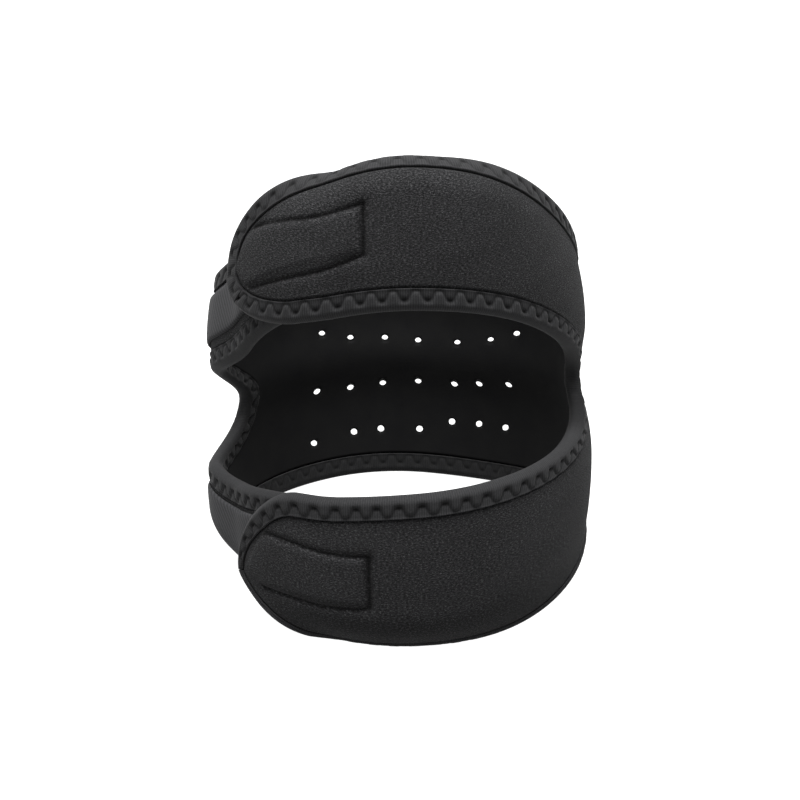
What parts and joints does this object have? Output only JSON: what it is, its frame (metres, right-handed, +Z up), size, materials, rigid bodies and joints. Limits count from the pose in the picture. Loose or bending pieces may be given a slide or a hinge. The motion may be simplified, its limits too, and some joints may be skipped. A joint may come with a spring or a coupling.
{
  "type": "patella strap",
  "caption": "Open-patella knee support: padded wrap with two lapping front bands, kneecap opening, side notch, perforated back and bound edges.",
  "frame": {"origin": "on the surface that the strap stands on, under the middle of its bounding box", "axes": "+Z up along the leg, -Y to the front where the bands cross over the kneecap opening, +X to the right as seen from the front, away from the fastening"},
  "size_m": [0.1256, 0.1512, 0.143],
  "materials": {
    "pile_fabric": "brushed loop pile, dark heather grey outside, smooth near-black lining inside",
    "edge_tape": "ribbed knit binding tape with zigzag stitching",
    "loop_fabric": "smooth low loop pile, mid grey",
    "hook_tape": "fine moulded hooks, near black"
  },
  "bodies": {
    "root": {"padded_wall": "pile_fabric", "binding_top": "edge_tape", "binding_opening": "edge_tape", "binding_bottom": "edge_tape", "binding_notch": "edge_tape", "upper_loop_strip": "loop_fabric", "lower_loop_strip": "loop_fabric", "upper_hook_patch": "hook_tape", "lower_hook_patch": "hook_tape"}
  },
  "joints": []
}
